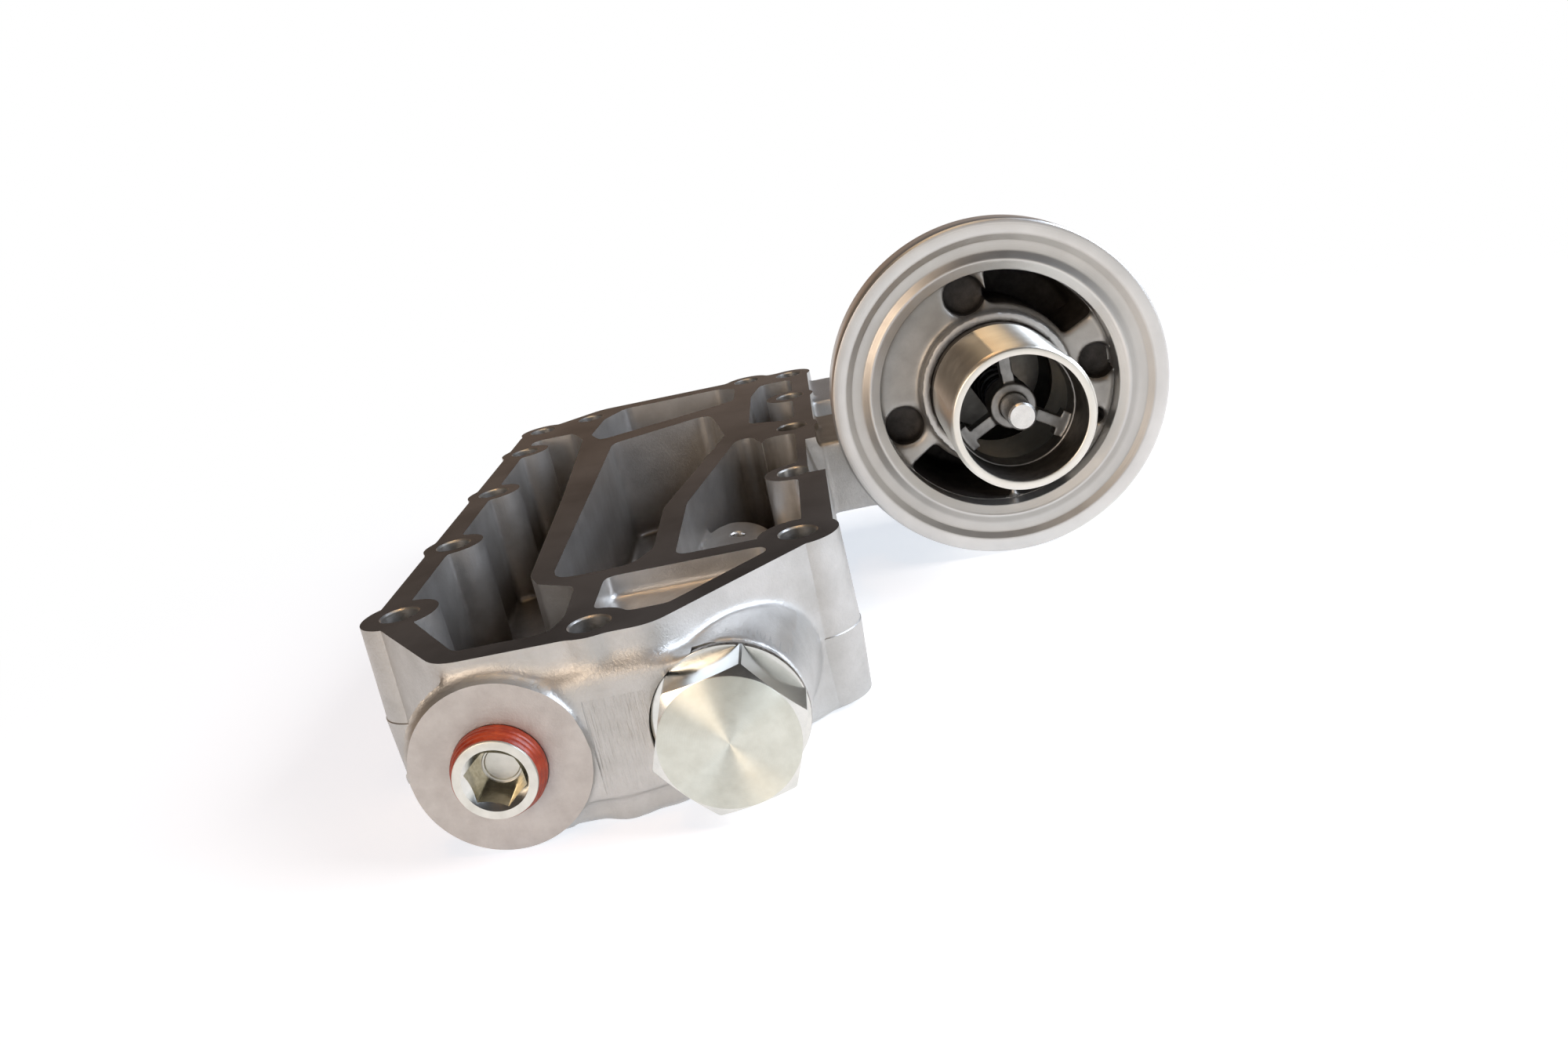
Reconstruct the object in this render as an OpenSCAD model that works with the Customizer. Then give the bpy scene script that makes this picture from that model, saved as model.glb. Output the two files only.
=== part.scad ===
// Oil filter head: a flanged aluminium casting with a side seat for a spin-on filter,
// a sprung bypass valve in the filter nipple and a pressure regulator behind the hexagon plug.
// Millimetres. +Z is square to the gasket face, -Y is the way the filter and both plugs leave.
// The origin is the middle of the filter seat face.

/* [Flange] */
// Width of the flange across the gasket face
flange_w = 138; // [130:1:150]
// Length of the flange from the front wall to the far wall
flange_l = 306; // [295:1:325]
// Height of the casting from the bench face to the gasket face
body_h = 53; // [50:0.5:60]
// Thickness of the rim walls
wall_t = 8.5; // [6:0.5:10]
// Thickness of the cavity floor
floor_t = 10; // [6:0.5:14]
// Thickness of the wall between the middle and right cavities
rib_t = 8; // [6:0.5:9]
// Depth of the shallow pocket in the gasket face
pocket_depth = 7; // [4:0.5:9]
// Outward draft of each half of the outer wall at the parting line
wall_draft = 0.6; // [0.2:0.1:1]
// Bevel round the bottom edge of the flange
bottom_bevel = 2.5; // [1:0.5:4]

/* [Bolts] */
// Diameter of the through holes for the flange bolts
bolt_hole_d = 11; // [9:0.5:12]
// Diameter of the bolt columns
bolt_column_d = 20.6; // [19:0.2:22]
// Distance of the left row of bolts from the left face
left_bolt_inset = 8; // [7:0.5:9]
// Distance of the right row of bolts from the right face
right_bolt_inset = 11.5; // [11:0.5:12.5]
// Distance of the first left bolt from the front wall
left_bolt_y = 48; // [46:1:50]
// Pitch of the left row of bolts
left_bolt_pitch = 65; // [62:1:68]
// Distance of the first right bolt from the front wall
right_bolt_y = 51; // [49:1:53]
// Pitch of the right row of bolts
right_bolt_pitch = 68; // [66:1:70]

/* [Filter seat] */
// Outer diameter of the filter seat
seat_d = 120; // [116:1:126]
// Distance of the filter axis from the middle of the flange
seat_x = 134; // [130:1:142]
// Distance of the seat face behind the front wall
seat_y = 144; // [138:1:150]
// Chamfer round the seat's rim
rim_chamfer = 3; // [1.5:0.5:4]
// Inner diameter of the flat land that the filter's seal runs on
land_inner_d = 94; // [92:1:98]
// Diameter of the recessed floor inside the land
recess_d = 85; // [82:1:88]
// Depth of the recessed floor below the land
recess_depth = 10; // [7:0.5:12]
// Thickness of the seat's rim
rim_t = 18; // [14:1:22]
// Diameter of the cast boss round the nipple
nipple_boss_d = 55; // [53:1:57]
// Depth of the head behind the seat face
head_depth = 66; // [64:1:74]

/* [Nipple] */
// Outer diameter of the nipple's thread
nipple_d = 48; // [46:0.5:50]
// Length of the nipple in front of the seat face
nipple_proud = 44.7; // [38:0.5:50]
// Length of the nipple screwed into the head
nipple_grip = 15.5; // [14:0.5:17]
// Bore of the nipple at its rim
nipple_bore_d = 41.4; // [40:0.2:42]
// Chamfer of the nipple's rim
nipple_chamfer = 0.8; // [0.4:0.1:1.2]

/* [Bypass valve] */
// Outer diameter of the valve stem
stem_d = 9.2; // [8:0.2:10]
// Distance that the stem's tip stays back from the nipple's rim
stem_back = 3.1; // [2:0.5:5]
// Diameter of the valve disc
disc_d = 32; // [30:1:34]
// Outer diameter of the guide's hub
hub_d = 15.6; // [14:0.2:17]
// Length of the guide's hub
hub_l = 12; // [9:1:15]
// Distance of the guide's front behind the nipple's rim
guide_back = 19.2; // [17:0.2:22]
// Width of each spoke of the guide
spoke_w = 4; // [3:0.5:5]

/* [Plugs] */
// Width of the hexagon plug across its flats
hex_af = 36; // [34:1:38]
// Height of the hexagon above its collar
hex_h = 13.7; // [11:0.5:16]
// Diameter of the hexagon plug's collar
collar_d = 41.6; // [40:0.2:43]
// Thread diameter of the hexagon plug
hex_thread_d = 30; // [28:0.5:32]
// Distance of the hexagon plug's axis right of the flange middle
hex_plug_x = 33.1; // [32:0.5:35]
// Diameter of the flat boss round the socket plug
spot_boss_d = 47.6; // [45:0.2:48]
// Distance of the socket plug's axis left of the flange middle
socket_plug_x = 27.4; // [26:0.2:29]
// Thread diameter of the socket plug
socket_thread_d = 24; // [22:0.5:26]
// Length of the socket plug that stands out of its boss
socket_proud = 6.6; // [5:0.2:8]
// Width of the plug's hexagon socket across its flats
socket_af = 14; // [12:1:15]

/* [Regulator] */
// Bore that the regulator plunger slides in
plunger_bore_d = 24; // [22:0.5:25]
// Length of the regulator plunger
plunger_l = 38; // [32:1:44]
// Travel of the regulator plunger
plunger_travel = 10; // [6:1:12]
// Outer diameter of the cast barrel round the plunger
barrel_d = 32; // [31:0.5:36]

/* [Hidden] */
$fn = 96;
eps = 0.01;
through = 1;

// Places on the flange
left_x = -flange_w / 2;
right_x = flange_w / 2 - 1;
mid_z = 24;
right_step = 1.7;
right_step_y = 118;
left_bolt_x = left_x + left_bolt_inset;
right_bolt_x = flange_w / 2 - right_bolt_inset;
left_bolts = [for (i = [0:3]) [left_bolt_x, left_bolt_y + i * left_bolt_pitch]];
right_bolts = [for (i = [0:2]) [right_bolt_x, right_bolt_y + i * right_bolt_pitch]];
far_bolts = [[right_bolt_x, flange_l - 9], [37, flange_l - 3], [-38, flange_l - 16],
             [left_bolt_x + 1, flange_l - 23]];
right_extra_bolt = [right_bolt_x, right_bolt_y + 3 * right_bolt_pitch - 9];
front_bolt = [1.5, 9];
bolts = concat(left_bolts, right_bolts, [right_extra_bolt], far_bolts, [front_bolt]);
dowel = [-53, flange_l - 9];
dowel_d = 7;
dowel_depth = 12;
cavity_r = 4;
outline_r = 11;

// Regulator and plugs
seat_z = seat_d / 2;
plug_z = mid_z - 0.5;
spot_face_y = -5.1;
spot_fillet = 3;
collar_t = 2;
collar_y = -1.2;
collar_gap = 0.8;
washer_t = 1.5;
washer_d = collar_d - 2.4;
hex_boss_d = collar_d + 4;
hex_boss_y = collar_y + collar_t + washer_t;
hex_boss_l = 34;
hex_boss_taper = 5;
hex_thread_l = 16;
regulator_end_y = 112;
barrel_end_y = 120;
regulator_port_d = 14;
spill_d = 5;
spill_y = regulator_end_y - plunger_travel + 4;
slide_gap = 0.05;
plunger_wall = 2.5;
plunger_end_t = 6;
spigot_d = 11;
spigot_l = 6;
plunger_front_y = regulator_end_y - plunger_l;
pad_y = -3.2;
pad_z = [8, 43];
socket_l = 18;
socket_depth = 9;
sealant_t = 0.5;

// Filter head, measured back from the seat face
nipple_seat = nipple_grip + 0.5;
relief_depth = 0.8;
relief_l = 1;
shell_t = 7.5;
chamber_l = 14;
chamber_y = head_depth - chamber_l - 6;
outlet_d = 42;
valve_y = 38;
valve_seat_t = 4;
port_d = 26;
disc_t = 3;
tail_d = 6;
guide_ring_d = 42.8;
guide_ring_t = 1.3;
guide_y = -nipple_proud + guide_back;
stem_front_y = -nipple_proud + stem_back;
kidney_in_d = 60;
kidneys = [[27, 87], [214, 269], [272.5, 297]];
blind_holes = [[100, 34.8, 14.6], [193, 35.7, 14.2], [2.4, 37.4, 13], [332, 39.2, 6]];
blind_depth = 8;
neck_y = [seat_y + rim_t, seat_y + head_depth];
neck_z = [22, 50];
outlet_duct_d = 13;
inlet_duct_d = 10;
land_groove_d = [100.4, 105.2];
land_groove_depth = 0.6;
pad_lug_y = [238, 288];

// Springs
valve_wire = 2;
valve_coil_d = 13;
valve_turns = 7;
regulator_wire = 2.4;
regulator_coil_d = 14.5;
regulator_turns = 11;
spring_sides = 8;
spring_steps = 16;

// Moves the flange frame so that the middle of the seat face is the origin
module place() {
    translate([-seat_x, -seat_y, -seat_z]) children();
}

// Local z runs along +Y from the given point of the flange frame
module along_y(x, y, z) {
    translate([x, y, z]) rotate([-90, 0, 0]) children();
}

// Same on the filter's axis, from a distance behind the seat face
module behind_seat(d) {
    along_y(seat_x, seat_y + d, seat_z) children();
}

module ring(d_out, d_in, h) {
    difference() {
        cylinder(d = d_out, h = h);
        translate([0, 0, -through]) cylinder(d = d_in, h = h + 2 * through);
    }
}

module rounded(r) {
    offset(r = r, $fn = 48) offset(delta = -r) children();
}

// Gasket face outline without the bolt columns
module flange_outline() {
    rounded(outline_r)
        polygon([[left_x + 31, 0], [right_x - 49.5, 0], [right_x, 47], [right_x, right_step_y],
                 [right_x - right_step, right_step_y + 5], [right_x - right_step, flange_l],
                 [left_x + 34, flange_l], [left_x, flange_l - 26], [left_x, 45]]);
}

module left_cavity_outline() {
    inner_x = left_x + wall_t;
    rounded(cavity_r)
        polygon([[left_x + 34, wall_t - 0.5], [-9.5, wall_t - 0.5], [-6.5, 18], [-7.5, 42],
                 [-20, 50.5], [-24, 60], [-28.5, 148], [-35, 244], [-42, flange_l - 44],
                 [inner_x, flange_l - 44], [inner_x, 49]]);
}

module middle_cavity_outline() {
    wall_x = right_x - 47 - rib_t;
    rounded(cavity_r + 2)
        polygon([[-14.5, 52], [wall_x - 5, 52], [wall_x + 0.5, 64], [wall_x, 106],
                 [wall_x + 17.5, 196], [wall_x + 9, 243], [-19, 223], [-16.5, 60]]);
}

module right_cavity_outline() {
    wall_x = right_x - 47;
    inner_x = right_x - right_step - wall_t + 1;
    rounded(cavity_r)
        polygon([[wall_x, 52], [inner_x, 52], [inner_x, 176], [47, 176], [46, 168],
                 [wall_x + 17, 196], [wall_x, 106]]);
}

module far_cavity_outline() {
    inner_x = right_x - right_step - wall_t + 1;
    rounded(cavity_r)
        polygon([[40, 208], [inner_x, 198], [inner_x, flange_l - 22], [44, flange_l - 22],
                 [40, 262]]);
}

module back_cavity_outline() {
    far_y = flange_l - wall_t - 1.5;
    rounded(cavity_r)
        polygon([[-26, 236], [24, 258], [32, 263], [32, far_y - 7], [24, far_y], [-22, far_y],
                 [-30, 280], [-32, 250]]);
}

module pocket_outline() {
    rounded(cavity_r - 1)
        polygon([[1, 19], [9, 13], [22, 13], [right_x - 19, 40], [right_x - 21, 44.5], [1, 44.5]]);
}

module cavities() {
    translate([0, 0, floor_t]) linear_extrude(body_h) left_cavity_outline();
    translate([0, 0, floor_t]) linear_extrude(body_h) middle_cavity_outline();
    translate([0, 0, floor_t]) linear_extrude(body_h) right_cavity_outline();
    translate([0, 0, floor_t]) linear_extrude(body_h) far_cavity_outline();
    translate([0, 0, floor_t]) linear_extrude(body_h) back_cavity_outline();
    translate([0, 0, body_h - pocket_depth]) linear_extrude(body_h) pocket_outline();
}

// One half of the drafted outer wall, wide at the parting line
module drafted_wall(h, inset) {
    middle = [0, flange_l / 2];
    translate(middle)
        linear_extrude(height = h, slices = 1,
                       scale = [1 - 2 * inset / flange_w, 1 - 2 * inset / flange_l])
            translate(-middle) offset(delta = wall_draft) flange_outline();
}

module flange_block() {
    translate([0, 0, mid_z]) drafted_wall(body_h - mid_z, wall_draft);
    translate([0, 0, mid_z]) mirror([0, 0, 1]) drafted_wall(mid_z - bottom_bevel, wall_draft);
    translate([0, 0, bottom_bevel]) mirror([0, 0, 1])
        drafted_wall(bottom_bevel, wall_draft + bottom_bevel);
}

module bolt_columns() {
    for (b = bolts) translate(b) cylinder(d = bolt_column_d, h = body_h);
}

// Cast barrel of the regulator inside the right cavity
module regulator_barrel() {
    along_y(hex_plug_x, wall_t, plug_z) cylinder(d = barrel_d, h = barrel_end_y - wall_t);
    translate([hex_plug_x - barrel_d / 4, wall_t, floor_t / 2])
        cube([barrel_d / 2, barrel_end_y - wall_t - 2, plug_z - floor_t]);
}

// Concave blend ring at the foot of a boss that stands on the front wall
module foot_fillet(d, r) {
    rotate_extrude()
        difference() {
            translate([0, -r]) square([d / 2 + r, r]);
            translate([d / 2 + r, -r]) circle(r = r);
        }
}

// Bosses of both plugs and the pad between them, cut off level with the bench face
module plug_bosses() {
    intersection() {
        union() {
            along_y(-socket_plug_x, spot_face_y, mid_z)
                cylinder(d = spot_boss_d, h = wall_t - spot_face_y);
            along_y(-socket_plug_x, 0, mid_z) foot_fillet(spot_boss_d, spot_fillet);
            along_y(hex_plug_x, hex_boss_y, plug_z)
                cylinder(d1 = hex_boss_d, d2 = hex_boss_d + hex_boss_taper, h = hex_boss_l);
            translate([0, wall_t, 0]) rotate([90, 0, 0]) linear_extrude(wall_t - pad_y)
                polygon([[-socket_plug_x, pad_z[0]], [hex_plug_x, pad_z[0]],
                         [hex_plug_x, pad_z[1] + 3], [-12, pad_z[1]], [-socket_plug_x, pad_z[1] + 1]]);
        }
        translate([left_x, spot_face_y - through, 0]) cube([flange_w, flange_l, body_h]);
    }
}

// Outside of the head: the rim of the seat, and the shell round the chamber behind it
module head_shell() {
    rim_r = seat_d / 2;
    shell_r = recess_d / 2 + shell_t;
    behind_seat(0)
        rotate_extrude()
            polygon([[0, 0], [rim_r - rim_chamfer, 0], [rim_r, rim_chamfer], [rim_r, rim_t - 2],
                     [rim_r - 2, rim_t], [shell_r + 2, rim_t], [shell_r + 1, rim_t + 6],
                     [shell_r, head_depth - 12], [shell_r - 6, head_depth - 3],
                     [shell_r - 14, head_depth], [0, head_depth]]);
}

// Arm that carries the head on the flange, its plan crossed with its front view
module neck() {
    start_x = right_x - wall_t;
    intersection() {
        linear_extrude(seat_d)
            polygon([[start_x, neck_y[0]], [seat_x, neck_y[0]], [seat_x, neck_y[1] - 12],
                     [seat_x - 34, neck_y[1] - 9], [right_x + 9, neck_y[1]], [start_x, neck_y[1]]]);
        translate([start_x, flange_l, 0]) rotate([90, 0, 0]) linear_extrude(flange_l)
            polygon([[0, neck_z[0]], [24, neck_z[0]], [44, neck_z[0] - 8], [seat_x, neck_z[0] - 8],
                     [seat_x, 88], [40, 84], [27, 62], [16, neck_z[1]], [0, neck_z[1]]]);
    }
    translate([start_x, pad_lug_y[0], neck_z[0] + 6])
        cube([wall_t + 10, pad_lug_y[1] - pad_lug_y[0], neck_z[1] - neck_z[0] - 6]);
}

module sector(a, r_in, r_out, h) {
    steps = 8;
    span = r_out / cos((a[1] - a[0]) / 2 / steps);
    intersection() {
        ring(2 * r_out, 2 * r_in, h);
        translate([0, 0, -through])
            linear_extrude(h + 2 * through)
                polygon(concat([[0, 0]], [for (i = [0:steps]) let (t = a[0] + (a[1] - a[0]) * i / steps)
                                          span * [cos(t), -sin(t)]]));
    }
}

module head_cuts() {
    bevel = (land_inner_d - recess_d) / 2;
    behind_seat(-through)
        cylinder(d1 = land_inner_d + 2 * through, d2 = recess_d, h = bevel + through);
    behind_seat(-through) ring(recess_d, nipple_boss_d, recess_depth + through);
    behind_seat(-through) cylinder(d = nipple_boss_d + 1, h = through + 0.5);
    behind_seat(-through)
        ring(land_groove_d[1], land_groove_d[0], land_groove_depth + through);
    for (k = kidneys)
        behind_seat(recess_depth - eps)
            sector(k, kidney_in_d / 2, recess_d / 2, chamber_y - recess_depth + 1);
    behind_seat(chamber_y) cylinder(d = recess_d, h = chamber_l);
    for (b = blind_holes)
        behind_seat(recess_depth - eps) rotate([0, 0, -b[0]]) translate([b[1], 0, 0])
            cylinder(d = b[2], h = blind_depth);
    behind_seat(-through) cylinder(d = nipple_d, h = nipple_seat + through);
    behind_seat(nipple_seat - eps)
        cylinder(d = outlet_d, h = valve_y + valve_seat_t - nipple_seat + 2 * eps);
    behind_seat(valve_y) cylinder(d = port_d + 4, h = chamber_y - valve_y + 1);
}

// Cored passages from the flange to the head
module neck_ducts() {
    translate([right_x - 20, seat_y + 27, neck_z[0] + 6]) rotate([0, 67.4, 0])
        cylinder(d = outlet_duct_d, h = 78);
    translate([right_x - 20, seat_y + 60, neck_z[0] + 14]) rotate([0, 90, -7])
        cylinder(d = inlet_duct_d, h = 60);
}

module plug_bores() {
    along_y(-socket_plug_x, spot_face_y - through, mid_z)
        cylinder(d = socket_thread_d, h = wall_t - spot_face_y + 2 * through + 2);
    along_y(hex_plug_x, pad_y - through, plug_z)
        cylinder(d = collar_d + 2 * collar_gap, h = hex_boss_y - pad_y + through);
    along_y(hex_plug_x, hex_boss_y - through, plug_z)
        cylinder(d = hex_thread_d, h = hex_thread_l + through);
    along_y(hex_plug_x, hex_boss_y + hex_thread_l, plug_z)
        cylinder(d = plunger_bore_d, h = regulator_end_y - hex_boss_y - hex_thread_l);
    along_y(hex_plug_x, regulator_end_y - eps, plug_z)
        cylinder(d = regulator_port_d, h = barrel_end_y - regulator_end_y + through);
    translate([hex_plug_x + 2, spill_y, plug_z]) cylinder(d = spill_d, h = barrel_d);
}

module housing() {
    color("gainsboro") place() difference() {
        union() {
            difference() {
                union() {
                    flange_block();
                    plug_bosses();
                    neck();
                }
                cavities();
            }
            bolt_columns();
            regulator_barrel();
            head_shell();
        }
        for (b = bolts)
            translate([b[0], b[1], -through]) cylinder(d = bolt_hole_d, h = body_h + 2 * through);
        translate([dowel[0], dowel[1], body_h - dowel_depth])
            cylinder(d = dowel_d, h = dowel_depth + through);
        head_cuts();
        plug_bores();
        neck_ducts();
    }
}

// Turned and plated nipple, with a thread relief at the seat and a counterbore for the guide
module filter_nipple() {
    r = nipple_d / 2;
    c = nipple_chamfer;
    counterbore_r = guide_ring_d / 2;
    bore_r = nipple_bore_d / 2;
    color("silver") place() behind_seat(0)
        rotate_extrude()
            polygon([[bore_r, -nipple_proud + c], [bore_r + c, -nipple_proud], [r - c, -nipple_proud],
                     [r, -nipple_proud + c], [r, 0], [r - relief_depth, 0],
                     [r - relief_depth, relief_l], [r, relief_l], [r, nipple_grip - c],
                     [r - c, nipple_grip], [counterbore_r, nipple_grip], [counterbore_r, guide_y],
                     [bore_r, guide_y]]);
}

// Spoked guide that the bypass stem slides in
module valve_guide() {
    ring_l = 10;
    color("dimgray") place() behind_seat(guide_y) {
        ring(guide_ring_d, guide_ring_d - 2 * guide_ring_t, ring_l);
        difference() {
            union() {
                cylinder(d = hub_d, h = hub_l);
                for (a = [92, 207, 328]) rotate([0, 0, -a]) translate([0, -spoke_w / 2, 1])
                    cube([guide_ring_d / 2 - guide_ring_t + eps, spoke_w, 6]);
                for (a = [92, 207, 328]) rotate([0, 0, -a]) intersection() {
                    translate([guide_ring_d / 2 - guide_ring_t - 3.5, -4.5, 1]) cube([4, 9, 6]);
                    cylinder(d = guide_ring_d - guide_ring_t, h = ring_l);
                }
            }
            translate([0, 0, -through]) cylinder(d = stem_d + 2 * slide_gap, h = hub_l + 2 * through);
        }
    }
}

module valve_seat() {
    color("darkgray") place() behind_seat(valve_y)
        ring(outlet_d, port_d, valve_seat_t);
}

// Stem with a shoulder for the disc and a tail for its nut
module valve_stem() {
    r = stem_d / 2;
    disc_y = valve_y - disc_t - 1;
    color("whitesmoke") place() behind_seat(0)
        rotate_extrude()
            polygon([[0, stem_front_y], [r - 0.6, stem_front_y], [r, stem_front_y + 0.6], [r, disc_y],
                     [tail_d / 2, disc_y], [tail_d / 2, valve_y + 6], [0, valve_y + 6]]);
}

module valve_disc() {
    color("silver") place() behind_seat(valve_y - disc_t - 1)
        ring(disc_d, tail_d, disc_t);
}

module valve_washer() {
    color("black") place() behind_seat(valve_y - 1)
        ring(disc_d - 1, tail_d, 1);
}

module valve_nut() {
    color("silver") place() behind_seat(valve_y)
        difference() {
            cylinder(d = 11.5, h = 5, $fn = 6);
            translate([0, 0, -through]) cylinder(d = tail_d, h = 7);
        }
}

// Round wire swept along a helix, with both end coils closed by a finer pitch
function coil_z(t, turns, wire, length) =
    wire / 2 + (t < 1 ? t * wire
              : t > turns - 1 ? length - wire - (turns - t) * wire
              : wire + (t - 1) * (length - 3 * wire) / (turns - 2));

module coil_spring(coil_d, wire, turns, length) {
    rings = turns * spring_steps;
    points = [for (i = [0:rings]) for (j = [0:spring_sides - 1])
        let (t = i / spring_steps, a = 360 * t, b = 360 * j / spring_sides,
             r = coil_d / 2 + wire / 2 * cos(b))
        [r * cos(a), r * sin(a), coil_z(t, turns, wire, length) + wire / 2 * sin(b)]];
    sides = [for (i = [0:rings - 1]) for (j = [0:spring_sides - 1])
        let (k = (j + 1) % spring_sides, p = i * spring_sides)
        [p + j, p + spring_sides + j, p + spring_sides + k, p + k]];
    start = [for (j = [0:spring_sides - 1]) j];
    finish = [for (j = [spring_sides - 1:-1:0]) rings * spring_sides + j];
    polyhedron(points, concat(sides, [start, finish]));
}

module valve_spring() {
    back = valve_y - disc_t - 1;
    front = guide_y + hub_l;
    color("slategray") place() behind_seat(front)
        coil_spring(valve_coil_d, valve_wire, valve_turns, back - front);
}

// Hexagon plug with its collar, its thread and a spigot that centres the spring
module regulator_plug() {
    shank_l = collar_t + washer_t + hex_thread_l;
    color("silver") place() along_y(hex_plug_x, collar_y, plug_z) {
        intersection() {
            translate([0, 0, -hex_h]) rotate([0, 0, -11])
                cylinder(d = hex_af / cos(30), h = hex_h + eps, $fn = 6);
            translate([0, 0, -hex_h])
                cylinder(d1 = hex_af - 1, d2 = hex_af - 1 + 4 * hex_h, h = hex_h + eps);
        }
        cylinder(d = collar_d, h = collar_t);
        cylinder(d = hex_thread_d, h = shank_l);
        cylinder(d = spigot_d, h = shank_l + spigot_l);
    }
}

module plug_washer() {
    color("dimgray") place() along_y(hex_plug_x, collar_y + collar_t, plug_z)
        ring(washer_d, hex_thread_d, washer_t);
}

module regulator_plunger() {
    color("silver") place() along_y(hex_plug_x, plunger_front_y, plug_z)
        difference() {
            cylinder(d = plunger_bore_d - 2 * slide_gap, h = plunger_l);
            translate([0, 0, -through])
                cylinder(d = plunger_bore_d - 2 * plunger_wall,
                         h = plunger_l - plunger_end_t + through);
        }
}

module regulator_spring() {
    front = hex_boss_y + hex_thread_l;
    back = regulator_end_y - plunger_end_t;
    color("slategray") place() along_y(hex_plug_x, front, plug_z)
        coil_spring(regulator_coil_d, regulator_wire, regulator_turns, back - front);
}

// Socket plug with a chamfered front and a drilled hexagon socket
module socket_plug() {
    r = socket_thread_d / 2;
    ring_r = r - 1.35;
    color("gainsboro") place() along_y(-socket_plug_x, spot_face_y - socket_proud, mid_z)
        difference() {
            rotate_extrude()
                polygon([[0, 0], [ring_r - 0.4, 0], [ring_r, 0.4], [r, 2.2], [r, socket_l - 1],
                         [r - 1, socket_l], [0, socket_l]]);
            translate([0, 0, -through]) rotate([0, 0, 20])
                cylinder(d = socket_af / cos(30), h = socket_depth + through, $fn = 6);
            translate([0, 0, -eps]) cylinder(d1 = socket_af + 3, d2 = socket_af, h = 1.5);
            translate([0, 0, socket_depth - eps]) cylinder(d1 = 9, d2 = 0.5, h = 2.5);
        }
}

module thread_sealant() {
    color("firebrick") place() along_y(-socket_plug_x, spot_face_y - socket_proud + 2.4, mid_z)
        ring(socket_thread_d + 2 * sealant_t, socket_thread_d, socket_proud - 2.4);
}

housing();
filter_nipple();
valve_guide();
valve_seat();
valve_stem();
valve_disc();
valve_washer();
valve_nut();
valve_spring();
regulator_plug();
plug_washer();
regulator_spring();
regulator_plunger();
socket_plug();
thread_sealant();
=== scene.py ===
import math

import bmesh
import bpy
from mathutils import Matrix, Vector
from mathutils.bvhtree import BVHTree


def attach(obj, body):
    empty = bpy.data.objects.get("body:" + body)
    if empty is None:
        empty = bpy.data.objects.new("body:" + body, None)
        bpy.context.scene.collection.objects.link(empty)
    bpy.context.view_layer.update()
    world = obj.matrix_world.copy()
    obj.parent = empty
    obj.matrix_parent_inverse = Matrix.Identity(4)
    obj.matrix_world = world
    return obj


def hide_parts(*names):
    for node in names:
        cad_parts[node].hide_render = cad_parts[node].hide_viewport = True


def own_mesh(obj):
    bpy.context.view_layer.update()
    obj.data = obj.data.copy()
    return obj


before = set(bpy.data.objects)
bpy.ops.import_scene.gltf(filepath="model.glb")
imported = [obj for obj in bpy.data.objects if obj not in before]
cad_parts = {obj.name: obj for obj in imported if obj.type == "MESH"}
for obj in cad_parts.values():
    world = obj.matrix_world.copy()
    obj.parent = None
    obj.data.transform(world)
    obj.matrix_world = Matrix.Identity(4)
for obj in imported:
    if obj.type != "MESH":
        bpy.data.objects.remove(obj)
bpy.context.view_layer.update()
print("frame loaded:", len(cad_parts), "nodes")

mm = 0.001
# corner that the flange's sizes are given from, seen from the centre of the filter seat
flangeCorner = Vector((-134, -144, -60)) * mm
hexPlace = (33.1, 23.5)        # axes of the two plugs, across and up on the flange
socketPlace = (-27.4, 24)


def onFlange(x, y, z):
    return flangeCorner + Vector((x, y, z)) * mm


# helpers for materials
def linear(code):
    parts = [int(code[i:i + 2], 16) / 255 for i in (1, 3, 5)]
    return [c / 12.92 if c <= 0.04045 else ((c + 0.055) / 1.055) ** 2.4 for c in parts] + [1]


def addNode(tree, kind, values=None, links=None, **settings):
    node = tree.nodes.new(kind)
    for name, value in settings.items():
        setattr(node, name, value)
    for name, value in (values or {}).items():
        node.inputs[name].default_value = value
    for name, socket in (links or {}).items():
        tree.links.new(socket, node.inputs[name])
    return node


def newMaterial(name, colour, metallic, roughness, **sockets):
    material = bpy.data.materials.new(name)
    material.use_nodes = True
    shader = material.node_tree.nodes["Principled BSDF"]
    shader.inputs["Base Color"].default_value = linear(colour)
    shader.inputs["Metallic"].default_value = metallic
    shader.inputs["Roughness"].default_value = roughness
    for socket, value in sockets.items():
        shader.inputs[socket.replace("_", " ")].default_value = value
    return material, material.node_tree, shader


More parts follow.
